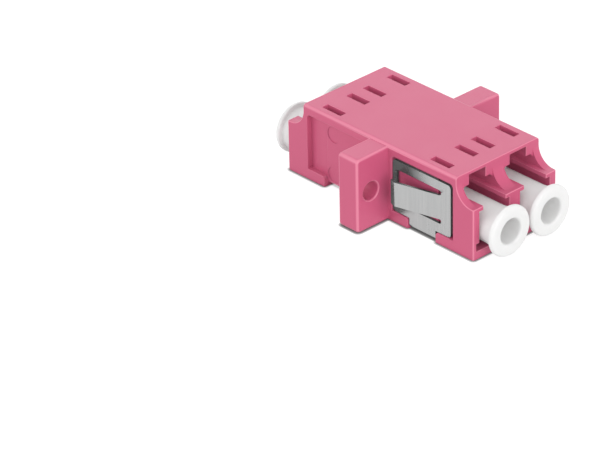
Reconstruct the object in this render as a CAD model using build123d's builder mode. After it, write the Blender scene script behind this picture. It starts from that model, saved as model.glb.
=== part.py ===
"""Duplex LC fibre adapter: two snap-in plug ports back to back, with a screw flange and a sheet steel panel clip.

Units are millimetres. The optical axes run along X, the front end (the half that carries the clip) points
to +X, the moulded roof with its latch slots is on top (+Z), and the origin is the middle of the footprint on
the underside. Left and right are as seen by someone who faces the front end, so left is -Y.
"""

from math import cos, radians, sin

from build123d import *
import os

os.makedirs("parts", exist_ok=True)

# Moulded body, outside.
body_length = 29.0
body_width = 12.8
body_height = 9.3
roof_length = 23.8
end_wall_height = 6.25
end_arc_radius = 2.2
roof_edge_radius = 0.4
end_edge_radius = 0.2

# Screw flange round the middle of the body.
screw_pitch = 18.0
screw_end_distance = 2.1
flange_thickness = 3.0
flange_height = 9.05
flange_corner_radius = 0.5
flange_edge_chamfer = 0.2
screw_hole_height = 4.6
screw_hole_radius = 1.1
screw_hole_chamfer = 0.15

# The two plug ports of each end.
port_pitch = 6.25
port_width = 4.6
plug_height = 4.75
floor_thickness = 1.0
rail_reach = 0.6
roof_thickness = 0.45
inner_roof_thickness = 0.85
corner_groove_height = 0.9
corner_groove_depth = 0.45
corner_groove_length = 2.4
web_thickness = 1.0

# Catch blocks that the plugs' latches snap behind, and the roof slots that form them.
catch_gap = 2.5
catch_length = 2.03
catch_height = 1.2
catch_chamfer = 0.4
slot_width = 0.9
slot_length = 2.92

# Recess in each side of each end, where the clip lies, and the groove for its strap.
recess_start = 2.0
recess_end = 11.35
recess_bottom = 1.3
recess_top = 8.15
recess_depth = 0.55
recess_corner_radius = 0.45
strap_gap_start = 4.45
strap_gap_end = 8.7
rail_end_radius = 0.4
strap_groove_depth = 0.35
strap_corner_radius = 0.45
step_depth = 0.18
pocket_depth = 0.12
pocket_top = 4.95
ejector_mark_radius = 1.0
ejector_mark_depth = 0.08
ejector_mark_x = -7.6
ejector_mark_heights = (1.75, 6.8)

# Spring clip, folded from one strip of sheet steel.
sheet_thickness = 0.3
clip_lift = 0.08
clip_flange_clearance = 0.05
clip_end_clearance = 0.45
clip_top_clearance = 0.4
clip_rail_clearance = 0.05
clip_corner_radius = 0.4
strap_clearance = 0.12
window_start = 2.65
window_end = 9.45
window_bottom = 2.5
window_top = 6.65
window_corner_radius = 0.28
tongue_slit = 0.6
tongue_angle = 15.0
tongue_length = 5.95
lip_angle = 24.0
lip_length = 0.7
fold_radius = 0.3

# Ceramic alignment sleeves and the moulded holders that trap them.
sleeve_outer_radius = 0.81
sleeve_bore_radius = 0.625
sleeve_length = 6.8
sleeve_slit = 0.3
sleeve_clearance = 0.07
holder_wall = 0.52
holder_lip = 0.7
holder_lip_radius = 0.68
holder_lead_in = 0.25
holder_plate_thickness = 1.0
holder_plate_clearance = 0.06
holder_plate_corner_radius = 0.4
spigot_clearance = 0.04
holder_gap = 0.05

# Dust caps.
cap_clearance = 0.06
cap_front = 17.0
cap_flange_radius = 3.0
cap_flange_thickness = 0.65
cap_rim_chamfer = 0.2
cap_inner_end = 5.6
cap_neck_start = 14.65
cap_neck_growth = 0.22
cap_lead_in = 0.4
cap_hole_radius = 1.5
cap_hole_depth = 8.4
cap_mouth_chamfer = 0.15

half_length = body_length / 2
half_width = body_width / 2
half_roof = roof_length / 2
half_web = web_thickness / 2
flange_width = screw_pitch + 2 * screw_end_distance
rail_thickness = end_wall_height - floor_thickness - plug_height
axis_height = floor_thickness + plug_height / 2
roof_underside = body_height - roof_thickness
inner_roof_underside = body_height - inner_roof_thickness
latch_height = roof_underside - end_wall_height
catch_face = half_roof - catch_length
recess_floor = half_width - recess_depth
ports = {"left": -port_pitch / 2, "right": port_pitch / 2}
ends = {"front": 1, "rear": -1}
position_tolerance = 0.01


def end_plane(end, distance):
    """Plane across the body at a distance from the middle, that faces out of one end with +Z as its own Y."""
    return Plane(origin=(end * distance, 0, 0), x_dir=(0, end, 0), z_dir=(end, 0, 0))


def axis_plane(end, port):
    """Plane through one port's axis: its X runs out of that end, its Y is height above the axis."""
    return Plane(origin=(0, port, axis_height), x_dir=(end, 0, 0), z_dir=(0, -end, 0))


def at(value, target):
    return abs(abs(value) - target) < position_tolerance


# Outline of the side recess, as a cutter that stands at the front left and is mirrored to the other three.
with BuildPart() as recess_cutter:
    with BuildSketch(Plane.XZ.offset(recess_floor)):
        with BuildLine():
            Polyline(
                (recess_start, recess_top),
                (recess_end, recess_top),
                (recess_end, recess_bottom),
                (strap_gap_end, recess_bottom),
                (strap_gap_end, -floor_thickness),
                (strap_gap_start, -floor_thickness),
                (strap_gap_start, recess_bottom),
                (recess_start, recess_bottom),
                close=True,
            )
        outline = make_face()
        tops = outline.vertices().filter_by(lambda v: at(v.Y, recess_top))
        fillet(tops, recess_corner_radius)
        rail_ends = vertices().filter_by(
            lambda v: at(v.Y, recess_bottom) and (at(v.X, strap_gap_start) or at(v.X, strap_gap_end))
        )
        fillet(rail_ends, rail_end_radius)
    extrude(amount=recess_depth)
    with BuildSketch(Plane.XZ.offset(recess_floor - step_depth)):
        with Locations(((strap_gap_end + recess_end) / 2, (recess_bottom + recess_top) / 2)):
            Rectangle(recess_end - strap_gap_end, recess_top - recess_bottom)
    extrude(amount=step_depth)
    with BuildSketch(Plane.XZ.offset(recess_floor - pocket_depth)):
        with Locations(((recess_start + strap_gap_start) / 2, (recess_bottom + pocket_top) / 2)):
            Rectangle(strap_gap_start - recess_start, pocket_top - recess_bottom)
    extrude(amount=pocket_depth)

with BuildPart() as housing:
    # Side profile with the concave ends, full width.
    with BuildSketch(Plane.XZ):
        with BuildLine():
            Polyline((0, 0), (half_length, 0), (half_length, end_wall_height), (half_roof + end_arc_radius, end_wall_height))
            RadiusArc(
                (half_roof + end_arc_radius, end_wall_height),
                (half_roof, end_wall_height + end_arc_radius),
                end_arc_radius,
            )
            Polyline((half_roof, end_wall_height + end_arc_radius), (half_roof, body_height), (0, body_height))
            mirror(about=Plane.YZ)
        make_face()
    extrude(amount=half_width, both=True)
    roof_edges = edges().filter_by(Axis.X).filter_by(lambda e: at(e.center().Z, body_height))
    fillet(roof_edges, roof_edge_radius)
    corner_edges = edges().filter_by(Axis.Z).filter_by(lambda e: at(e.center().X, half_length))
    fillet(corner_edges, end_edge_radius)

    # Screw flange.
    with BuildSketch(Plane.YZ):
        with Locations((0, flange_height / 2)):
            Rectangle(flange_width, flange_height)
        fillet(vertices(), flange_corner_radius)
    extrude(amount=flange_thickness / 2, both=True)
    rim_edges = edges().filter_by(
        lambda e: at(e.center().X, flange_thickness / 2) and abs(e.center().Y) > half_width + flange_edge_chamfer
    )
    chamfer(rim_edges, flange_edge_chamfer)
    for side in (-1, 1):
        with BuildSketch(Plane.YZ.offset(-flange_thickness / 2)):
            with Locations((side * screw_pitch / 2, screw_hole_height)):
                Circle(screw_hole_radius)
        extrude(amount=flange_thickness, mode=Mode.SUBTRACT)
    hole_edges = edges().filter_by(GeomType.CIRCLE).filter_by(lambda e: at(e.radius, screw_hole_radius))
    chamfer(hole_edges, screw_hole_chamfer)

    # Ports: plug space, the gap between the rails, and latch space.
    for end in ends.values():
        with BuildSketch(end_plane(end, half_web)):
            for port in ports.values():
                with Locations((port, axis_height)):
                    Rectangle(port_width, plug_height)
                with Locations((port, end_wall_height - rail_thickness / 2)):
                    Rectangle(port_width - 2 * rail_reach, rail_thickness)
                with Locations((port, end_wall_height + latch_height / 2)):
                    Rectangle(port_width, latch_height)
        extrude(amount=half_length, mode=Mode.SUBTRACT)

        # Short grooves along the outer lower corners, which stop before the thin walls of the side recesses.
        with BuildSketch(end_plane(end, half_length - corner_groove_length)):
            for side in (-1, 1):
                groove_wall = side * (port_pitch + port_width + corner_groove_depth) / 2
                with Locations((groove_wall, floor_thickness + corner_groove_height / 2)):
                    Rectangle(corner_groove_depth, corner_groove_height)
        extrude(amount=corner_groove_length, mode=Mode.SUBTRACT)

        # Catch blocks under the front edge of the roof, on both sides of each latch opening.
        with BuildSketch(end_plane(end, catch_face)):
            for port in ports.values():
                for side in (-1, 1):
                    inner = port + side * catch_gap / 2
                    wall = port + side * port_width / 2
                    block_bottom = roof_underside - catch_height
                    with BuildLine():
                        Polyline(
                            (inner, roof_underside),
                            (inner, block_bottom),
                            (wall - side * catch_chamfer, block_bottom),
                            (wall, block_bottom - catch_chamfer),
                            (wall, roof_underside),
                            close=True,
                        )
                    make_face()
        extrude(amount=catch_length)

        # Behind the catch blocks the roof is thicker.
        with BuildSketch(end_plane(end, half_web)):
            for port in ports.values():
                with Locations((port, (inner_roof_underside + roof_underside) / 2)):
                    Rectangle(port_width, roof_underside - inner_roof_underside)
        extrude(amount=catch_face - half_web)

        # Slots through that thicker roof, right behind the catch blocks.
        with BuildSketch(Plane.XY.offset(inner_roof_underside)):
            for port in ports.values():
                for side in (-1, 1):
                    slot_y = port + side * (port_width - slot_width) / 2
                    with Locations((end * (catch_face - slot_length / 2), slot_y)):
                        Rectangle(slot_length, slot_width)
        extrude(amount=inner_roof_thickness, mode=Mode.SUBTRACT)

        # Groove for the clip's strap, across the underside.
        with BuildSketch(Plane.XY):
            with Locations((end * (strap_gap_start + strap_gap_end) / 2, 0)):
                Rectangle(strap_gap_end - strap_gap_start, body_width)
        extrude(amount=strap_groove_depth, mode=Mode.SUBTRACT)

    # Side recesses: the front left one and its three mirror images.
    add(recess_cutter.part, mode=Mode.SUBTRACT)
    add(mirror(recess_cutter.part, about=Plane.YZ, mode=Mode.PRIVATE), mode=Mode.SUBTRACT)
    add(mirror(recess_cutter.part, about=Plane.XZ, mode=Mode.PRIVATE), mode=Mode.SUBTRACT)
    add(recess_cutter.part.rotate(Axis.Z, 180), mode=Mode.SUBTRACT)
    strap_corners = edges().filter_by(Axis.X).filter_by(
        lambda e: at(e.center().Y, recess_floor) and at(e.center().Z, strap_groove_depth)
    )
    fillet(strap_corners, strap_corner_radius)

    # Round marks of the ejector pins in the empty recess on the left of the rear end.
    with BuildSketch(Plane.XZ.offset(recess_floor - ejector_mark_depth)):
        with Locations(*[(ejector_mark_x, height) for height in ejector_mark_heights]):
            Circle(ejector_mark_radius)
    extrude(amount=ejector_mark_depth, mode=Mode.SUBTRACT)

    # Bores through the middle web, for the sleeve holders.
    spigot_radius = sleeve_outer_radius + sleeve_clearance + holder_wall
    with BuildSketch(Plane.YZ.offset(-half_web)):
        with Locations(*[(port, axis_height) for port in ports.values()]):
            Circle(spigot_radius + spigot_clearance)
    extrude(amount=web_thickness, mode=Mode.SUBTRACT)

housing.part.label = "housing"
export_step(housing.part, "parts/housing.step")

# One side plate of the clip lies in each front recess, and the strap joins the two under the body.
plate_start = recess_start + clip_flange_clearance
plate_end = recess_end - clip_end_clearance
plate_bottom = recess_bottom + clip_rail_clearance
plate_top = recess_top - clip_top_clearance
strap_start = strap_gap_start + strap_clearance
strap_end = strap_gap_end - strap_clearance
plate_inside = recess_floor + clip_lift
plate_outside = plate_inside + sheet_thickness
strap_top = strap_groove_depth
strap_underside = strap_groove_depth - sheet_thickness
fold_top = plate_bottom + clip_corner_radius

with BuildPart() as spring_clip:
    for side in (-1, 1):
        plate_plane = Plane.XZ.offset(plate_inside if side < 0 else -plate_outside)
        with BuildSketch(plate_plane):
            with Locations(((plate_start + plate_end) / 2, (plate_bottom + plate_top) / 2)):
                Rectangle(plate_end - plate_start, plate_top - plate_bottom)
            fillet(vertices(), clip_corner_radius)
            with Locations(((window_start + window_end) / 2, (window_bottom + window_top) / 2)):
                RectangleRounded(
                    window_end - window_start, window_top - window_bottom, window_corner_radius, mode=Mode.SUBTRACT
                )
        extrude(amount=sheet_thickness)

    # Strap round the bottom, with its two folds.
    with BuildSketch(Plane.YZ.offset(strap_start)):
        with BuildLine():
            FilletPolyline(
                (-plate_outside, fold_top),
                (-plate_outside, strap_underside),
                (plate_outside, strap_underside),
                (plate_outside, fold_top),
                radius=fold_radius + sheet_thickness,
            )
            Line((plate_outside, fold_top), (plate_inside, fold_top))
            FilletPolyline(
                (plate_inside, fold_top),
                (plate_inside, strap_top),
                (-plate_inside, strap_top),
                (-plate_inside, fold_top),
                radius=fold_radius,
            )
            Line((-plate_inside, fold_top), (-plate_outside, fold_top))
        make_face()
    extrude(amount=strap_end - strap_start)

    # Spring tongues, cut free on three sides and bent out towards the flange, with a lip bent back at the tip.
    mid_sheet = plate_inside + sheet_thickness / 2
    bend_x = window_end - tongue_length * cos(radians(tongue_angle))
    bend_y = mid_sheet + tongue_length * sin(radians(tongue_angle))
    tip_x = bend_x - lip_length * cos(radians(lip_angle))
    tip_y = bend_y - lip_length * sin(radians(lip_angle))
    for side in (-1, 1):
        with BuildSketch(Plane.XY.offset(window_bottom + tongue_slit)):
            with BuildLine():
                FilletPolyline(
                    (window_end + sheet_thickness, side * mid_sheet),
                    (window_end, side * mid_sheet),
                    (bend_x, side * bend_y),
                    (tip_x, side * tip_y),
                    radius=fold_radius,
                )
            trace(line_width=sheet_thickness)
        extrude(amount=window_top - window_bottom - 2 * tongue_slit)

spring_clip.part.label = "spring_clip"
export_step(spring_clip.part, "parts/spring_clip.step")

# A sleeve holder for each port of each end: a barrel on a square plate that seats on the middle web.
holder_bore = sleeve_outer_radius + sleeve_clearance
holder_reach = sleeve_length / 2 + sleeve_clearance
holder_tip = holder_reach + holder_lip
for end_name, end in ends.items():
    for port_name, port in ports.items():
        with BuildPart() as sleeve_holder:
            with BuildSketch(end_plane(end, half_web)):
                with Locations((end * port, axis_height)):
                    RectangleRounded(
                        port_width - 2 * holder_plate_clearance,
                        plug_height - 2 * holder_plate_clearance,
                        holder_plate_corner_radius,
                    )
            extrude(amount=holder_plate_thickness)
            with BuildSketch(end_plane(end, holder_gap)):
                with Locations((end * port, axis_height)):
                    Circle(spigot_radius)
            extrude(amount=holder_tip - holder_gap)

            # Bore that holds half of the sleeve, and the funnel through the lip for the plug's ferrule.
            with BuildSketch(axis_plane(end, port)):
                with BuildLine():
                    Polyline(
                        (0, 0),
                        (0, holder_bore),
                        (holder_reach, holder_bore),
                        (holder_reach, holder_lip_radius),
                        (holder_tip, holder_lip_radius + holder_lead_in),
                        (holder_tip, 0),
                        close=True,
                    )
                make_face()
            revolve(axis=Axis((0, port, axis_height), (1, 0, 0)), mode=Mode.SUBTRACT)
        holder_name = f"sleeve_holder_{end_name}_{port_name}"
        sleeve_holder.part.label = holder_name
        export_step(sleeve_holder.part, f"parts/{holder_name}.step")

# Split sleeves, with the slit on top.
for port_name, port in ports.items():
    with BuildPart() as sleeve:
        with BuildSketch(Plane.YZ.offset(-sleeve_length / 2)):
            with Locations((port, axis_height)):
                Circle(sleeve_outer_radius)
                Circle(sleeve_bore_radius, mode=Mode.SUBTRACT)
            with Locations((port, axis_height + sleeve_outer_radius)):
                Rectangle(sleeve_slit, sleeve_outer_radius, mode=Mode.SUBTRACT)
        extrude(amount=sleeve_length)
    sleeve_name = f"alignment_sleeve_{port_name}"
    sleeve.part.label = sleeve_name
    export_step(sleeve.part, f"parts/{sleeve_name}.step")

# A dust cap for each port of each end: one turned profile, closed at its inner end.
shank_radius = port_width / 2 - cap_clearance
neck_radius = shank_radius + cap_neck_growth
cap_back = cap_front - cap_flange_thickness
for end_name, end in ends.items():
    for port_name, port in ports.items():
        with BuildPart() as dust_cap:
            with BuildSketch(axis_plane(end, port)):
                with BuildLine():
                    Polyline(
                        (cap_inner_end, 0),
                        (cap_inner_end, shank_radius - cap_lead_in),
                        (cap_inner_end + cap_lead_in, shank_radius),
                        (cap_neck_start, shank_radius),
                        (cap_back, neck_radius),
                        (cap_back, cap_flange_radius),
                        (cap_front, cap_flange_radius),
                        (cap_front, cap_hole_radius),
                        (cap_front - cap_hole_depth, cap_hole_radius),
                        (cap_front - cap_hole_depth, 0),
                        close=True,
                    )
                make_face()
                rim = vertices().filter_by(lambda v: at(v.Y, cap_flange_radius))
                chamfer(rim, cap_rim_chamfer)
                mouth = vertices().filter_by(lambda v: at(v.Y, cap_hole_radius) and at(v.X, cap_front))
                chamfer(mouth, cap_mouth_chamfer)
            revolve(axis=Axis((0, port, axis_height), (1, 0, 0)))
        cap_name = f"dust_cap_{end_name}_{port_name}"
        dust_cap.part.label = cap_name
        export_step(dust_cap.part, f"parts/{cap_name}.step")
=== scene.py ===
# %% [markdown]
# A duplex fibre adapter joins two pairs of optical fibres inside a panel.
# Its body is one piece of moulded plastic with two ports at each end, a steel clip round the
# front half holds it in the panel, and a white cap keeps the dust out of each port.
# The measured solids come from a CAD model, which is loaded first and never moved.
# Everything here is added in the same frame: metres, +X out of the front end, +Z up.

# %% Load the measured model
from math import cos, pi, radians, sin

import bmesh
import bpy
from mathutils import Matrix, Vector


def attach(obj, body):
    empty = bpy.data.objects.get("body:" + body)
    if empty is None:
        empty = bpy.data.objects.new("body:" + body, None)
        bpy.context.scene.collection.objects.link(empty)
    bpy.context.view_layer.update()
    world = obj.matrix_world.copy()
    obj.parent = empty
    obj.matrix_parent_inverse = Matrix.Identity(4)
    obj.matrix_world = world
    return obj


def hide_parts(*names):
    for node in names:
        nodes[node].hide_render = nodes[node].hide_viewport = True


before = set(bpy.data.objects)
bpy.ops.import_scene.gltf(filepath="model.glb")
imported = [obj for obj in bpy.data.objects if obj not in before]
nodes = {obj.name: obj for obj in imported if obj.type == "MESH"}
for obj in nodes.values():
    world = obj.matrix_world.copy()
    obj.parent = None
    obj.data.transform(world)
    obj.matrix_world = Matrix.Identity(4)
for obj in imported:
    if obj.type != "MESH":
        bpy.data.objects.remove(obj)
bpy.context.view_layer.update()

MM = 0.001
CLOSE = 0.0005 * MM

# %% [markdown]
# A product photo is taken with a long lens from a little way off, so parallel edges stay nearly parallel.
# The camera was found by fitting the body's corners to the picture. It stands 430 mm away, 47.4 degrees round from
# the side in view towards the front end and 29.95 degrees up, and it is rolled by 1.3 degrees. It looks past the
# adapter, which stands off centre.

# %% Camera
camera_turn = radians(47.41)
camera_rise = radians(29.95)
camera_roll = radians(-1.32)
camera_distance = 429.7 * MM
aim_across = 13.33 * MM
aim_up = 3.64 * MM

backward = Vector((sin(camera_turn) * cos(camera_rise), -cos(camera_turn) * cos(camera_rise), sin(camera_rise)))
level = Vector((cos(camera_turn), sin(camera_turn), 0))
upright = backward.cross(level)
across = cos(camera_roll) * level + sin(camera_roll) * upright
upward = cos(camera_roll) * upright - sin(camera_roll) * level

camera = bpy.data.objects.new("camera", bpy.data.cameras.new("camera"))
camera.data.sensor_width = 36
camera.data.lens = 232.93
camera.data.clip_start = 0.01
camera.matrix_world = Matrix.Translation(
    backward * camera_distance - across * aim_across - upward * aim_up
) @ Matrix((across, upward, backward)).transposed().to_4x4()
bpy.context.scene.collection.objects.link(camera)
bpy.context.scene.camera = camera
bpy.context.scene.view_settings.view_transform = "Standard"
print("camera stands at", [round(v, 3) for v in camera.location])

# %% [markdown]
# Small white-background pictures are lit by big soft boxes and a bright surround.
# There are four boxes: one high behind gives the roof its pale sheen, a faint one above evens it out, and one on
# the left and one in front light the two sides that face the camera.
# A box's brightness is worked out from the light that should arrive, so it can be moved without a new guess.

# %% Soft boxes
middle = Vector((0, 0, 5 * MM))


def soft_box(name, direction, distance, size, arriving):
    """A square soft light that faces the adapter and lights a surface square to it by a share of full white."""
    data = bpy.data.lights.new(name, "AREA")
    data.shape = "SQUARE"
    data.size = size
    data.energy = arriving * pi * pi * distance * distance
    box = bpy.data.objects.new(name, data)
    towards = Vector(direction).normalized()
    box.location = middle + towards * distance
    box.rotation_euler = towards.to_track_quat("Z", "Y").to_euler()
    bpy.context.scene.collection.objects.link(box)
    print(name, "uses", round(data.energy, 2), "W")


soft_box("back_box", (-0.64, 0.58, 0.55), distance=0.6, size=0.42, arriving=0.17)
soft_box("top_box", (0.1, -0.1, 1.0), distance=0.55, size=0.4, arriving=0.07)
soft_box("left_box", (-0.45, -1.0, 0.3), distance=0.55, size=0.35, arriving=0.24)
soft_box("front_box", (1.0, -0.2, 0.3), distance=0.55, size=0.35, arriving=0.41)

# %% [markdown]
# The surround lights the adapter evenly from all sides, at about two thirds of full white.
# The camera, and reflections in metal, see it as plain white, which is what a paper background looks like.

# %% White surround
surround_light = 0.64
surround_white = 1.0


def strength_by_ray(tree, bounced, seen):
    """A strength that is one value for light that bounces, and another for the camera and for reflections."""
    path = tree.nodes.new("ShaderNodeLightPath")
    either = tree.nodes.new("ShaderNodeMath")
    any_of = tree.nodes.new("ShaderNodeMath")
    either.operation = any_of.operation = "MAXIMUM"
    chosen = tree.nodes.new("ShaderNodeMapRange")
    chosen.inputs["To Min"].default_value = bounced
    chosen.inputs["To Max"].default_value = seen
    tree.links.new(path.outputs["Is Camera Ray"], either.inputs[0])
    tree.links.new(path.outputs["Is Glossy Ray"], either.inputs[1])
    tree.links.new(either.outputs[0], any_of.inputs[0])
    tree.links.new(path.outputs["Is Transmission Ray"], any_of.inputs[1])
    tree.links.new(any_of.outputs[0], chosen.inputs["Value"])
    return chosen.outputs["Result"]


world = bpy.data.worlds.new("surround")
bpy.context.scene.world = world
world.use_nodes = True
background = world.node_tree.nodes["Background"]
background.inputs["Color"].default_value = (1, 1, 1, 1)
world.node_tree.links.new(
    strength_by_ray(world.node_tree, surround_light, surround_white), background.inputs["Strength"]
)

# %% [markdown]
# The adapter lies on white paper. Paper that is only lit would come out pale grey, so most of its white is a glow
# of its own. The glow fades less than 0.4 mm away from the adapter, which paints a thin dark shadow along its
# lower edges. The caps hang that far above the paper, so they get no painted shadow. Light that bounces off
# the paper onto the adapter is weaker than what the camera sees.

# %% Paper floor
floor_size = 4.0
floor_shade = 0.3
floor_glow = 0.85
floor_bounce = 0.4
floor_reach = 0.38 * MM
floor_fade = 4.0
bpy.ops.mesh.primitive_grid_add(x_subdivisions=4, y_subdivisions=4, size=floor_size, location=(0, 0, 0))
floor = bpy.context.object
floor.name = "paper_floor"
paper = bpy.data.materials.new("white_paper")
paper.use_nodes = True
paper_nodes, paper_links = paper.node_tree.nodes, paper.node_tree.links
paper_nodes.clear()
paper_output = paper_nodes.new("ShaderNodeOutputMaterial")
paper_sum = paper_nodes.new("ShaderNodeAddShader")
paper_diffuse = paper_nodes.new("ShaderNodeBsdfDiffuse")
paper_glow = paper_nodes.new("ShaderNodeEmission")
paper_diffuse.inputs["Color"].default_value = (floor_shade, floor_shade, floor_shade, 1)
paper_strength = strength_by_ray(paper.node_tree, floor_bounce, floor_glow)
# Painted shadow: ambient occlusion darkens the paper's glow close to the adapter.
paper_painted_shadow = paper_nodes.new("ShaderNodeAmbientOcclusion")
paper_painted_shadow.inputs["Distance"].default_value = floor_reach
paper_fade = paper_nodes.new("ShaderNodeMath")
paper_fade.operation = "POWER"
paper_fade.inputs[1].default_value = floor_fade
paper_level = paper_nodes.new("ShaderNodeMath")
paper_level.operation = "MULTIPLY"
paper_links.new(paper_painted_shadow.outputs["AO"], paper_fade.inputs[0])
paper_links.new(paper_fade.outputs[0], paper_level.inputs[0])
paper_links.new(paper_strength, paper_level.inputs[1])
paper_links.new(paper_level.outputs[0], paper_glow.inputs["Strength"])
paper_links.new(paper_diffuse.outputs[0], paper_sum.inputs[0])
paper_links.new(paper_glow.outputs[0], paper_sum.inputs[1])
paper_links.new(paper_sum.outputs[0], paper_output.inputs["Surface"])
floor.data.materials.append(paper)

# %% [markdown]
# Modelling by hand means selecting something, then calling a tool on it.
# These helpers do the selecting: they start from nothing selected, and pick faces or edges by where they are.

# %% Selecting by place


def take(piece):
    """Makes one object the only selected and active one."""
    bpy.ops.object.select_all(action="DESELECT")
    piece.select_set(True)
    bpy.context.view_layer.objects.active = piece


def edit(piece):
    take(piece)
    bpy.ops.object.mode_set(mode="EDIT")


def done():
    bpy.ops.object.mode_set(mode="OBJECT")


def pick(piece, kind, rule):
    """In edit mode, selects only the verts, edges or faces that the rule says yes to, and returns how many."""
    bpy.ops.mesh.select_mode(type={"verts": "VERT", "edges": "EDGE", "faces": "FACE"}[kind])
    bpy.ops.mesh.select_all(action="DESELECT")
    shape = bmesh.from_edit_mesh(piece.data)
    chosen = [part for part in getattr(shape, kind) if rule(part)]
    for part in chosen:
        part.select_set(True)
    shape.select_flush_mode()
    bmesh.update_edit_mesh(piece.data)
    return len(chosen)


def middle_of(edge):
    return (edge.verts[0].co + edge.verts[1].co) / (2 * MM)


def bm_of(piece):
    """A scratch copy of an object's mesh, to count or measure with."""
    shape = bmesh.new()
    shape.from_mesh(piece.data)
    return shape


def open_edges(piece):
    """How many edges of an object don't have exactly two faces. A closed piece has none."""
    shape = bm_of(piece)
    count = sum(not edge.is_manifold for edge in shape.edges)
    shape.free()
    return count


def span_of(piece, axis):
    """Smallest and largest coordinate of an object along one axis, in mm."""
    values = [vertex.co[axis] / MM for vertex in piece.data.vertices]
    return min(values), max(values)


def finish_with(piece, kind, **settings):
    """Adds a modifier with its settings and applies it."""
    take(piece)
    modifier = piece.modifiers.new(kind.lower(), kind)
    for name, value in settings.items():
        setattr(modifier, name, value)
    bpy.ops.object.modifier_apply(modifier=modifier.name)


# %% [markdown]
# The CAD body already has its larger radii: 0.4 mm along the roof and 0.2 mm at the corners of both ends, with a
# 0.2 mm chamfer round the flange. Most of its other edges are sharp. A real mould leaves a small radius on every
# outer edge, and that radius catches the light as a thin pale line, which is most of what makes plastic look real.
# The CAD mesh is loose triangles, so a copy is merged and its flat faces joined before its edges are rounded.
# A flat face with a hole in it would be joined by a stray slanting edge, and rounding goes wrong there.
# Cuts through the middle of each hole come first, so every edge that is left meets the holes squarely.

# %% Housing, joined into clean faces
port_axes = (-3.125, 3.125)
slot_lines = (-4.975, -1.275, 1.275, 4.975)
screw_height = 4.6
ejector_mark_x = -7.6
cuts = [((0, y, 0), (0, 1, 0)) for y in port_axes + slot_lines]
cuts += [((0, 0, screw_height), (0, 0, 1)), ((ejector_mark_x, 0, 0), (1, 0, 0))]

housing = bpy.data.objects.new("moulded_housing", nodes["housing"].data.copy())
bpy.context.scene.collection.objects.link(housing)
edit(housing)
bpy.ops.mesh.select_all(action="SELECT")
bpy.ops.mesh.remove_doubles(threshold=CLOSE)
for place, direction in cuts:
    bpy.ops.mesh.select_all(action="SELECT")
    bpy.ops.mesh.bisect(plane_co=Vector(place) * MM, plane_no=direction, threshold=CLOSE)
    bpy.ops.mesh.mark_seam(clear=False)
bpy.ops.mesh.select_all(action="SELECT")
bpy.ops.mesh.dissolve_limited(angle_limit=radians(0.5), delimit={"SEAM"})
bpy.ops.mesh.mark_seam(clear=True)
done()
print("housing has", len(housing.data.polygons), "faces once joined")

# %% [markdown]
# Not every edge can take the same radius: a step a fifth of a millimetre deep has no room for it.
# So each outer edge gets a weight, which is its share of 0.2 mm, by the feature that it belongs to. The features
# are told apart by where an edge's middle lies, in millimetres and with a hair of 0.01 mm to spare.
# Most edges of the body get 0.11 mm, the edges of the flange's chamfer 0.12 mm, the recess step 0.07 mm, and the
# latch slots, the ports' insides and the rims of the screw holes 0.03 to 0.06 mm. The radii that the CAD model
# has already stay as they are. The inner edges of the arched end walls, the edges on the recess floor, the
# hidden bores and the faint round marks of the ejector pins stay sharp.

# %% How round each edge is
housing_edge = 0.2 * MM
least_fold = radians(25)
hair = 0.01
wall_outside = 6.4
recess_floor = 5.85
floor_band = 0.3
recess_step = 8.7
recess_reach = 11.5
roof_underside = 8.85
near_middle = 0.6
end_wall = (11.8, 14.4)
port_sides = (0.825, 5.425)
screw_place = (9.0, screw_height)
screw_reach = 1.4
shares = {"screw hole": 0.15, "recess step": 0.35, "flange": 0.6, "latch slot": 0.28, "inside": 0.16, "body": 0.55}


def from_screw(y, z):
    """Distance from the axis of the nearer screw hole, in millimetres."""
    return ((y - screw_place[0]) ** 2 + (z - screw_place[1]) ** 2) ** 0.5


def edge_share(edge):
    """Share of the housing_edge radius for one edge, or 0 to leave it as it is."""
    x, y, z = (abs(c) for c in middle_of(edge))
    if not edge.is_manifold or not edge.is_convex or edge.calc_face_angle() < least_fold:
        return 0
    if from_screw(y, z) < screw_reach:
        return shares["screw hole"]
    if abs(x - recess_step) < 2 * hair and abs(y - recess_floor) < 2 * hair:
        return shares["recess step"]
    in_floor = recess_floor - floor_band < y < recess_floor + hair
    if x < near_middle or (x < recess_reach and in_floor and z < roof_underside):
        return 0
    if end_wall[0] < x < end_wall[1] and min(abs(y - side) for side in port_sides) < 2 * hair:
        return 0
    if y > wall_outside + hair:
        return shares["flange"]
    if x < recess_reach and y < recess_floor:
        return shares["latch slot"] if z > roof_underside - hair else shares["inside"]
    return shares["body"]


edit(housing)
shape = bmesh.from_edit_mesh(housing.data)
share_layer = shape.edges.layers.float.new("bevel_weight_edge")
for edge in shape.edges:
    edge[share_layer] = edge_share(edge)
rounded = sum(edge[share_layer] > 0 for edge in shape.edges)
bmesh.update_edit_mesh(housing.data)
done()
print("edges to round:", rounded, "of", len(housing.data.edges))
finish_with(
    housing,
    "BEVEL",
    width=housing_edge,
    segments=3,
    limit_method="WEIGHT",
    use_clamp_overlap=False,
    miter_outer="MITER_SHARP",
)
bpy.ops.object.shade_smooth_by_angle(angle=radians(40))
finish_with(housing, "WEIGHTED_NORMAL", keep_sharp=True)
print("housing has", len(housing.data.polygons), "faces after rounding")
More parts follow.
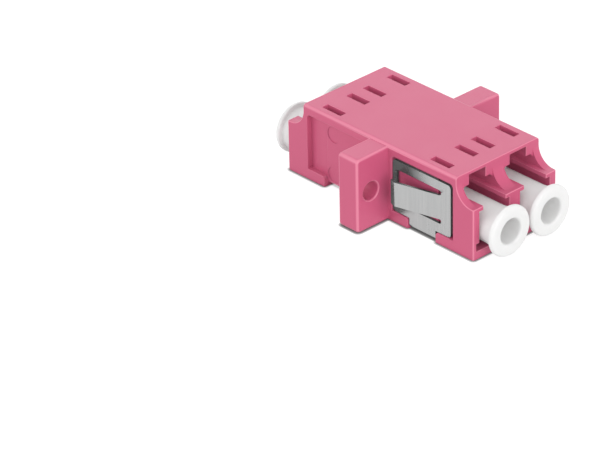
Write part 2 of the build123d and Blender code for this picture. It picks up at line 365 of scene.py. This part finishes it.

# %% [markdown]
# A paler colour is painted on the housing's rounded edges: a painted highlight for the light a real edge catches.
# How far a point's normal is turned away from the three main directions tells how much it belongs to an edge.
# That share is kept on the mesh as an attribute, which the plastic reads later. Points that touch a flat face
# get none, so the painted highlight stays on the rounding. The curved end walls would count as edges too, so there
# only a turn to the side counts. Edges down in the recess and round the latch slots get a weaker painted highlight.

# %% Where a highlight is painted on the edges
fully_turned = 0.14
flat_enough = 0.9995
screw_rim = 1.15
arch_x = (11.8, 14.2)
arch_z = (6.2, 8.5)
near_step = 0.1
recess_start = 1.9
recess_ceiling = 8.4
slots_reach = 10
outer_skin = 0.5
port_mouth = 14
# Weaker shares of the painted highlight, for edges that would catch less light.
pale = {"recess": 0.3, "latch slot": 0.5, "inside": 0.7}

shape = bm_of(housing)
touches_flat = [
    any(max(abs(c) for c in face.normal) > flat_enough for face in vertex.link_faces) for vertex in shape.verts
]
shape.free()


def painted_edge_highlight(vertex):
    """How much painted highlight a point of the housing gets, from 0 to 1."""
    x, y, z = (abs(c) / MM for c in vertex.co)
    nx, ny, nz = (abs(c) for c in vertex.normal)
    if touches_flat[vertex.index] or from_screw(y, z) < screw_rim:
        return 0
    turned = 1 - max(nx, ny, nz)
    if arch_x[0] < x < arch_x[1] and arch_z[0] < z < arch_z[1] and y < wall_outside + hair:
        turned = 1 - max(ny, (nx * nx + nz * nz) ** 0.5)
    share = min(turned / fully_turned, 1)
    if abs(x - recess_step) < near_step and y < recess_floor + hair:
        return share
    in_recess = recess_floor - floor_band < y < wall_outside + hair
    if in_recess and recess_start < x < recess_reach and z < recess_ceiling:
        return pale["recess"] * share
    if x < slots_reach and y < recess_floor and z > roof_underside:
        return pale["latch slot"] * share
    outside = y > recess_floor - outer_skin or z > roof_underside or x > port_mouth
    return share if outside else pale["inside"] * share


# Painted highlight: this attribute makes the plastic paler along the housing's edges.
light_on_edges = housing.data.attributes.new("painted_edge_highlight", "FLOAT", "POINT")
light_on_edges.data.foreach_set("value", [painted_edge_highlight(vertex) for vertex in housing.data.vertices])
print("points on pale edges:", sum(painted_edge_highlight(vertex) > 0.5 for vertex in housing.data.vertices))
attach(housing, "adapter")
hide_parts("housing")

# %% [markdown]
# The dust cap is a plain turned shape: a shank that fits the port, a slightly flared neck, and a flange to
# pull on, with a blind hole in the front. It is drawn as a disc at the inner end and pushed out ring by ring,
# which is the shape of the mould's core and cavity. The thick rim is well rounded, so a finger can catch it.
# Each ring has its place along X and its radius, and each rounding has those of its ring, its size and its steps.
# Extruding lists the new faces and edges of a ring in an order that changes from run to run. They are sorted by
# their corner points at the end, so that every run gives the same mesh. No picture is wrapped round a piece, so
# none gets texture coordinates.

# %% Dust cap
port_height = 3.375
cap_sides = 64
cap_rings = [
    (5.6, 1.84), (6.0, 2.24), (14.65, 2.24), (16.35, 2.46), (16.35, 3.0), (17.0, 3.0), (17.0, 1.5), (8.6, 1.5)
]
cap_roundings = [
    (17.0, 3.0, 0.4, 6), (16.35, 3.0, 0.16, 4), (17.0, 1.5, 0.3, 5), (16.35, 2.46, 0.1, 3), (8.6, 1.5, 0.3, 4),
    (6.0, 2.24, 0.2, 3),
]
most_points = 4000


def from_axis(vertex):
    """Distance of a point from the axis of the front left port, in millimetres."""
    return ((vertex.co.y / MM - port_axes[0]) ** 2 + (vertex.co.z / MM - port_height) ** 2) ** 0.5


def on_ring(edge, x, radius):
    """True when both ends of an edge lie on one ring of the front left cap."""
    return all(abs(v.co.x / MM - x) < hair and abs(from_axis(v) - radius) < hair for v in edge.verts)


def corner_number(part):
    """One number made of the four lowest corner indices of a face, or the two of an edge."""
    number = 0
    for corner in sorted(vertex.index for vertex in part.verts)[:4]:
        number = number * most_points + corner
    return number


bpy.ops.mesh.primitive_circle_add(
    vertices=cap_sides,
    radius=cap_rings[0][1] * MM,
    fill_type="NGON",
    calc_uvs=False,
    location=(cap_rings[0][0] * MM, port_axes[0] * MM, port_height * MM),
    rotation=(0, pi / 2, 0),
)
cap = bpy.context.object
cap.name = "cap_front_left"
bpy.ops.object.transform_apply(location=True, rotation=True, scale=True)
edit(cap)
bpy.ops.mesh.select_all(action="SELECT")
for (x_was, r_was), (x, r) in zip(cap_rings, cap_rings[1:]):
    bpy.ops.mesh.extrude_region_move(TRANSFORM_OT_translate={"value": ((x - x_was) * MM, 0, 0)})
    bpy.ops.transform.resize(
        value=(1, r / r_was, r / r_was), center_override=(x * MM, port_axes[0] * MM, port_height * MM)
    )
for x, r, size, steps in cap_roundings:
    pick(cap, "edges", lambda edge: on_ring(edge, x, r))
    bpy.ops.mesh.bevel(offset=size * MM, segments=steps, affect="EDGES")
bpy.ops.mesh.select_all(action="SELECT")
bpy.ops.mesh.normals_make_consistent(inside=False)
shape = bmesh.from_edit_mesh(cap.data)
shape.verts.index_update()
for parts in (shape.faces, shape.edges):
    print("cap parts with a number of their own:", len({corner_number(part) for part in parts}), "of", len(parts))
    parts.sort(key=corner_number)
bmesh.update_edit_mesh(cap.data)
done()
bpy.ops.object.shade_smooth_by_angle(angle=radians(30))
print("cap has", len(cap.data.polygons), "faces and", open_edges(cap), "open edges")

# %% [markdown]
# All four caps come from one mould. The other three are copies, each with a mesh of its own: one is moved
# across to the other port, and both are turned half a turn about the upright axis for the rear end.

# %% The other three caps


def copy_of(piece, name):
    take(piece)
    bpy.ops.object.duplicate(linked=False)
    twin = bpy.context.object
    twin.name = name
    return twin


cap_right = copy_of(cap, "cap_front_right")
edit(cap_right)
bpy.ops.mesh.select_all(action="SELECT")
bpy.ops.transform.translate(value=(0, (port_axes[1] - port_axes[0]) * MM, 0))
done()
caps = {"front_left": cap, "front_right": cap_right}
for front, rear in (("front_left", "rear_right"), ("front_right", "rear_left")):
    caps[rear] = copy_of(caps[front], "cap_" + rear)
    edit(caps[rear])
    bpy.ops.mesh.select_all(action="SELECT")
    bpy.ops.transform.rotate(value=pi, orient_axis="Z", center_override=(0, 0, 0))
    done()
for place, piece in caps.items():
    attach(piece, place + "_cap")
    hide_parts("dust_cap_" + place)
    print(piece.name, "reaches from x", [round(v, 2) for v in span_of(piece, 0)])

# %% [markdown]
# The clip is cut from one strip of spring steel and folded round the underside of the body.
# It is drawn the way it is made: the window in the side plate first, then the plate round it, then the tongue
# that stays joined at the window's front edge, then the strap that folds under. All of it is a sheet without
# thickness until the end, so every fold is one line to round. The window and the plate are given as their two
# places along X and then their two heights.

# %% Clip: side plate with its window
sheet_middle = -6.08
window = (2.65, 9.45, 2.5, 6.65)
plate = (2.05, 10.9, 1.35, 7.75)
window_corner = 0.28

window_centre = ((window[0] + window[1]) / 2, sheet_middle, (window[2] + window[3]) / 2)
plate_centre = ((plate[0] + plate[1]) / 2, sheet_middle, (plate[2] + plate[3]) / 2)
window_size = (window[1] - window[0], window[3] - window[2])
plate_size = (plate[1] - plate[0], plate[3] - plate[2])

bpy.ops.mesh.primitive_plane_add(
    size=MM, calc_uvs=False, location=Vector(window_centre) * MM, rotation=(pi / 2, 0, 0)
)
clip = bpy.context.object
clip.name = "folded_clip"
bpy.ops.object.transform_apply(location=True, rotation=True, scale=True)
edit(clip)
bpy.ops.mesh.select_all(action="SELECT")
bpy.ops.transform.resize(value=(window_size[0], 1, window_size[1]), center_override=Vector(window_centre) * MM)
bpy.ops.mesh.bevel(offset=window_corner * MM, segments=5, affect="VERTICES")
bpy.ops.mesh.select_all(action="SELECT")
bpy.ops.mesh.extrude_region_move(
    TRANSFORM_OT_translate={"value": (Vector(plate_centre) - Vector(window_centre)) * MM}
)
bpy.ops.transform.resize(
    value=(plate_size[0] / window_size[0], 1, plate_size[1] / window_size[1]),
    center_override=Vector(plate_centre) * MM,
)
pick(clip, "faces", lambda face: len(face.verts) > 4)
bpy.ops.mesh.delete(type="FACE")
done()
print("plate has", len(clip.data.polygons), "faces round its window")

# %% [markdown]
# The tongue grows out of the window's front edge. Its root widens in a small arc, because a sharp corner in
# spring steel would crack there. The tongue leans out at 15 degrees and its tip turns back in, so that a
# panel cut-out can slide over it.

# %% Clip: tongue
tongue_half = 1.475
tongue_length = 5.95
tongue_lean = radians(15)
lip_length = 0.7
lip_lean = radians(24)
lip_bend = 0.16
root_half = tongue_half + window_corner
tongue_height = window_centre[2]

edit(clip)
for z in (tongue_height - root_half, tongue_height + root_half):
    bpy.ops.mesh.select_all(action="SELECT")
    bpy.ops.mesh.bisect(plane_co=(0, 0, z * MM), plane_no=(0, 0, 1), threshold=CLOSE)
pick(
    clip,
    "edges",
    lambda edge: all(
        abs(v.co.x / MM - window[1]) < hair and abs(v.co.z / MM - tongue_height) < root_half + hair
        for v in edge.verts
    ),
)
along = 0
half = root_half
tongue_stations = [
    (window_corner * (1 - cos(radians(turn))), tongue_half + window_corner * (1 - sin(radians(turn))))
    for turn in (30, 60, 90)
] + [(tongue_length, tongue_half)]
for reach, next_half in tongue_stations:
    step = reach - along
    bpy.ops.mesh.extrude_region_move(
        TRANSFORM_OT_translate={"value": (-step * cos(tongue_lean) * MM, -step * sin(tongue_lean) * MM, 0)}
    )
    bpy.ops.transform.resize(value=(1, 1, next_half / half), center_override=(0, 0, tongue_height * MM))
    along, half = reach, next_half
bpy.ops.mesh.extrude_region_move(
    TRANSFORM_OT_translate={"value": (-lip_length * cos(lip_lean) * MM, lip_length * sin(lip_lean) * MM, 0)}
)
bend_x = window[1] - tongue_length * cos(tongue_lean)
pick(clip, "edges", lambda edge: all(abs(v.co.x / MM - bend_x) < hair for v in edge.verts))
bpy.ops.mesh.bevel(offset=lip_bend * MM, segments=4, affect="EDGES")
done()
print("tongue bends back at x", round(bend_x, 2))

# %% [markdown]
# The strap leaves the plate's lower edge, passes between the two rails and folds under the body.
# Half of the clip is enough: a mirror makes the other side, then the sheet is given its thickness of 0.3 mm
# and the burr-free edges that stamping and tumbling leave.

# %% Clip: strap, mirror and thickness
strap = (4.57, 8.58)
strap_height = 0.2
fold_radius = 0.45
sheet_thickness = 0.3
sheet_edge = 0.04

edit(clip)
for x in strap:
    bpy.ops.mesh.select_all(action="SELECT")
    bpy.ops.mesh.bisect(plane_co=(x * MM, 0, 0), plane_no=(1, 0, 0), threshold=CLOSE)
pick(
    clip,
    "edges",
    lambda edge: all(
        abs(v.co.z / MM - plate[2]) < hair and strap[0] - hair < v.co.x / MM < strap[1] + hair for v in edge.verts
    ),
)
bpy.ops.mesh.extrude_region_move(TRANSFORM_OT_translate={"value": (0, 0, (strap_height - plate[2]) * MM)})
bpy.ops.mesh.extrude_region_move(TRANSFORM_OT_translate={"value": (0, -sheet_middle * MM, 0)})
pick(
    clip,
    "edges",
    lambda edge: all(
        abs(v.co.z / MM - strap_height) < hair and abs(v.co.y / MM - sheet_middle) < hair for v in edge.verts
    ),
)
bpy.ops.mesh.bevel(offset=fold_radius * MM, segments=6, affect="EDGES")
done()
finish_with(clip, "MIRROR", use_axis=(False, True, False), merge_threshold=0.001 * MM)
edit(clip)
bpy.ops.mesh.select_all(action="SELECT")
bpy.ops.mesh.normals_make_consistent(inside=False)
done()
finish_with(clip, "SOLIDIFY", thickness=sheet_thickness * MM, offset=0, use_even_offset=True)
finish_with(clip, "BEVEL", width=sheet_edge * MM, segments=2, limit_method="ANGLE", angle_limit=radians(50))
bpy.ops.object.shade_smooth_by_angle(angle=radians(35))
finish_with(clip, "WEIGHTED_NORMAL", keep_sharp=True)
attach(clip, "adapter")
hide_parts("spring_clip")
print("clip has", len(clip.data.polygons), "faces and", open_edges(clip), "open edges")
print("clip spans y", [round(v, 2) for v in span_of(clip, 1)], "z", [round(v, 2) for v in span_of(clip, 2)])

# %% [markdown]
# Moulded plastic is never one flat colour. Its skin copies the fine spark-eroded grain of the mould, and the
# pigment drifts a little from place to place. The colour group also paints a paler highlight on outer edges, as
# light catches them.
# Those effects are the same for every moulded piece, so each is a node group with its own inputs.
# The painted edge highlight reads the attribute that the housing got above, and does nothing on a piece without
# one.

# %% Effects that the plastics share


def new_group(name, inputs, outputs):
    """A shader node group with named sockets, and its two end nodes."""
    tree = bpy.data.node_groups.new(name, "ShaderNodeTree")
    for label, kind, value in inputs:
        tree.interface.new_socket(name=label, in_out="INPUT", socket_type="NodeSocket" + kind).default_value = value
    for label, kind in outputs:
        tree.interface.new_socket(name=label, in_out="OUTPUT", socket_type="NodeSocket" + kind)
    return tree, tree.nodes.new("NodeGroupInput").outputs, tree.nodes.new("NodeGroupOutput").inputs


def add_node(tree, kind, links=(), **values):
    """Adds a node, sets its properties and input values by name, and links outputs into its inputs."""
    node = tree.nodes.new("ShaderNode" + kind)
    for name, value in values.items():
        if hasattr(node, name):
            setattr(node, name, value)
        else:
            node.inputs[name.replace("_", " ").title()].default_value = value
    for source, target in links:
        tree.links.new(source, node.inputs[target])
    return node


def mix_colours(tree, share, first, second):
    """Mixes two colours by a share, from 0 for the first to 1. The second one can be a plain value."""
    node = add_node(tree, "Mix", [(share, 0)], data_type="RGBA")
    first_socket, second_socket, mixed = node.inputs[6], node.inputs[7], node.outputs[2]
    tree.links.new(first, first_socket)
    if isinstance(second, tuple):
        second_socket.default_value = second
    else:
        tree.links.new(second, second_socket)
    return mixed


grain, asked, given = new_group(
    "mould_grain",
    [("Grain Scale", "Float", 9000), ("Roughness", "Float", 0.45), ("Roughness Spread", "Float", 0.08)],
    [("Height", "Float"), ("Roughness", "Float")],
)
place = add_node(grain, "TexCoord").outputs["Object"]
fine = add_node(grain, "TexNoise", [(place, "Vector"), (asked["Grain Scale"], "Scale")], detail=3)
broad = add_node(grain, "TexNoise", [(place, "Vector")], scale=260, detail=2)
lowest = add_node(
    grain, "Math", [(asked["Roughness"], 0), (asked["Roughness Spread"], 1)], operation="SUBTRACT"
)
highest = add_node(grain, "Math", [(asked["Roughness"], 0), (asked["Roughness Spread"], 1)], operation="ADD")
spread = add_node(
    grain, "MapRange", [(broad.outputs[0], "Value"), (lowest.outputs[0], "To Min"), (highest.outputs[0], "To Max")]
)
grain.links.new(fine.outputs[0], given["Height"])
grain.links.new(spread.outputs[0], given["Roughness"])

tint, asked, given = new_group(
    "moulded_colour_and_painted_edges",
    [
        ("Colour", "Color", (0.5, 0.5, 0.5, 1)),
        ("Drift Colour", "Color", (0.5, 0.5, 0.5, 1)),
        ("Edge Colour", "Color", (0.9, 0.9, 0.9, 1)),
        ("Painted Highlight Share", "Float", 1.0),
    ],
    [("Colour", "Color")],
)
place = add_node(tint, "TexCoord").outputs["Object"]
cloud = add_node(tint, "TexNoise", [(place, "Vector")], scale=180, detail=2)
body_colour = mix_colours(tint, cloud.outputs[0], asked["Colour"], asked["Drift Colour"])
# Painted highlight: the edge attribute mixes a paler colour into the base colour.
on_edge = add_node(tint, "Attribute", attribute_name="painted_edge_highlight")
painted_highlight_mask = add_node(tint, "Math", [(on_edge.outputs["Fac"], 0), (asked["Painted Highlight Share"], 1)], operation="MULTIPLY")
edged = mix_colours(tint, painted_highlight_mask.outputs[0], body_colour, asked["Edge Colour"])
tint.links.new(edged, given["Colour"])
print("groups:", grain.name, "and", tint.name)

# %% [markdown]
# The body is an opaque heather-violet plastic with a satin skin, which is the colour code for one class of
# fast multimode fibre. What the steel clip mirrors of it is kept grey, and the light that it bounces onto what
# lies round it is kept pale, because the picture shows hardly any pink on the clip or on the caps.

# %% Pink body plastic


def new_material(name, **values):
    """A Principled material with its plain values set on the shader's own sockets."""
    material = bpy.data.materials.new(name)
    material.use_nodes = True
    shader = material.node_tree.nodes["Principled BSDF"]
    for label, value in values.items():
        shader.inputs[label.replace("_", " ").title().replace("Ior", "IOR")].default_value = value
    return material, material.node_tree, shader.inputs


def use_group(tree, group, **values):
    """Adds a node group to a material, with its inputs set by name."""
    node = tree.nodes.new("ShaderNodeGroup")
    node.node_tree = group
    for label, value in values.items():
        node.inputs[label.replace("_", " ").title()].default_value = value
    return node.outputs


def lay_on(tree, shader, colour, skin, depth):
    """Gives a material its colour and its skin, whose grain is pressed in by a depth in metres."""
    tree.links.new(colour, shader["Base Color"])
    tree.links.new(skin["Roughness"], shader["Roughness"])
    pressed = add_node(tree, "Bump", [(skin["Height"], "Height")], strength=1.0, distance=depth)
    tree.links.new(pressed.outputs[0], shader["Normal"])


def wear(piece, material):
    """Gives a new piece its only material."""
    piece.data.materials.clear()
    piece.data.materials.append(material)


pink, tree, shader = new_material("heather_pink_plastic", ior=1.5)
colour = use_group(
    tree,
    tint,
    colour=(0.635, 0.097, 0.205, 1),
    drift_colour=(0.665, 0.105, 0.219, 1),
    # This edge colour is a painted highlight on the housing's rounded edges.
    edge_colour=(0.83, 0.24, 0.36, 1),
)
skin = use_group(tree, grain, grain_scale=9000, roughness=0.42, roughness_spread=0.05)
mirrored_grey = (0.2, 0.2, 0.2, 1)
bounced_pink = (0.85, 0.55, 0.62, 1)
path = add_node(tree, "LightPath")
bounce_colour = mix_colours(tree, path.outputs["Is Diffuse Ray"], colour["Colour"], bounced_pink)
seen_colour = mix_colours(tree, path.outputs["Is Glossy Ray"], bounce_colour, mirrored_grey)
lay_on(tree, shader, seen_colour, skin, 0.004 * MM)
wear(housing, pink)

# %% [markdown]
# The caps are soft white polyethylene with no pigment but white. A little light goes into it and comes out again
# close by, which softens its shading. Its grain is coarser and shallower than the body's.

# %% White cap plastic
white, tree, shader = new_material(
    "white_cap_plastic",
    ior=1.5,
    subsurface_weight=0.6,
    subsurface_radius=(1, 1, 1),
    subsurface_scale=1.0 * MM,
)
colour = use_group(
    tree, tint, colour=(0.86, 0.86, 0.855, 1), drift_colour=(0.88, 0.88, 0.875, 1), edge_colour=(0.9, 0.9, 0.9, 1)
)
skin = use_group(tree, grain, grain_scale=5000, roughness=0.42, roughness_spread=0.06)
lay_on(tree, shader, colour["Colour"], skin, 0.003 * MM)
for piece in caps.values():
    wear(piece, white)

# %% [markdown]
# Spring steel leaves the rolling mill with fine lines along the strip, so on the side plates they run up and down.
# The lines spread reflections across the strip, and a slow drift in roughness keeps the sheet from looking printed.

# %% Rolled steel
rolled, asked, given = new_group(
    "rolled_sheet",
    [
        ("Light", "Color", (0.6, 0.6, 0.6, 1)),
        ("Dark", "Color", (0.5, 0.5, 0.5, 1)),
        ("Line Scale", "Float", 4000),
        ("Line Stretch", "Vector", (1, 1, 0.03)),
    ],
    [("Colour", "Color"), ("Roughness", "Float"), ("Height", "Float")],
)
place = add_node(rolled, "TexCoord").outputs["Object"]
stretched = add_node(rolled, "VectorMath", [(place, 0), (asked["Line Stretch"], 1)], operation="MULTIPLY")
lines = add_node(
    rolled, "TexNoise", [(stretched.outputs[0], "Vector"), (asked["Line Scale"], "Scale")], detail=4
)
smoothest, roughest = 0.2, 0.32
drift = add_node(rolled, "TexNoise", [(place, "Vector")], scale=300, detail=2)
sheet_colour = mix_colours(rolled, lines.outputs[0], asked["Dark"], asked["Light"])
sheet_roughness = add_node(rolled, "MapRange", [(drift.outputs[0], "Value")])
sheet_roughness.inputs["To Min"].default_value = smoothest
sheet_roughness.inputs["To Max"].default_value = roughest
rolled.links.new(sheet_colour, given["Colour"])
rolled.links.new(sheet_roughness.outputs[0], given["Roughness"])
rolled.links.new(lines.outputs[0], given["Height"])

steel, tree, shader = new_material("rolled_spring_steel", metallic=1.0)
sheet = use_group(tree, rolled, light=(0.5, 0.505, 0.505, 1), dark=(0.39, 0.395, 0.395, 1))
lay_on(tree, shader, sheet["Colour"], sheet, 0.0015 * MM)
wear(clip, steel)

# %% [markdown]
# The sleeves and their holders sit deep in the ports. Their measured shapes are right as they are, so they keep
# their CAD meshes and only get a better finish: natural white plastic, and zirconia that is polished like china.

# %% Holders and sleeves
holder_plastic, tree, shader = new_material("natural_holder_plastic", ior=1.5)
colour = use_group(
    tree, tint, colour=(0.62, 0.6, 0.56, 1), drift_colour=(0.68, 0.66, 0.62, 1), edge_colour=(0.75, 0.74, 0.7, 1)
)
skin = use_group(tree, grain, grain_scale=7000, roughness=0.5, roughness_spread=0.06)
lay_on(tree, shader, colour["Colour"], skin, 0.003 * MM)

zirconia, tree, shader = new_material("polished_zirconia", ior=2.1)
colour = use_group(
    tree,
    tint,
    colour=(0.8, 0.79, 0.75, 1),
    drift_colour=(0.84, 0.83, 0.79, 1),
    edge_colour=(0.88, 0.87, 0.84, 1),
)
skin = use_group(tree, grain, grain_scale=12000, roughness=0.12, roughness_spread=0.03)
lay_on(tree, shader, colour["Colour"], skin, 0.0008 * MM)

for name, node in nodes.items():
    if name.startswith("sleeve_holder"):
        node.material_slots[0].material = holder_plastic
    if name.startswith("alignment_sleeve"):
        node.material_slots[0].material = zirconia
print("materials:", [material.name for material in bpy.data.materials if material.users])
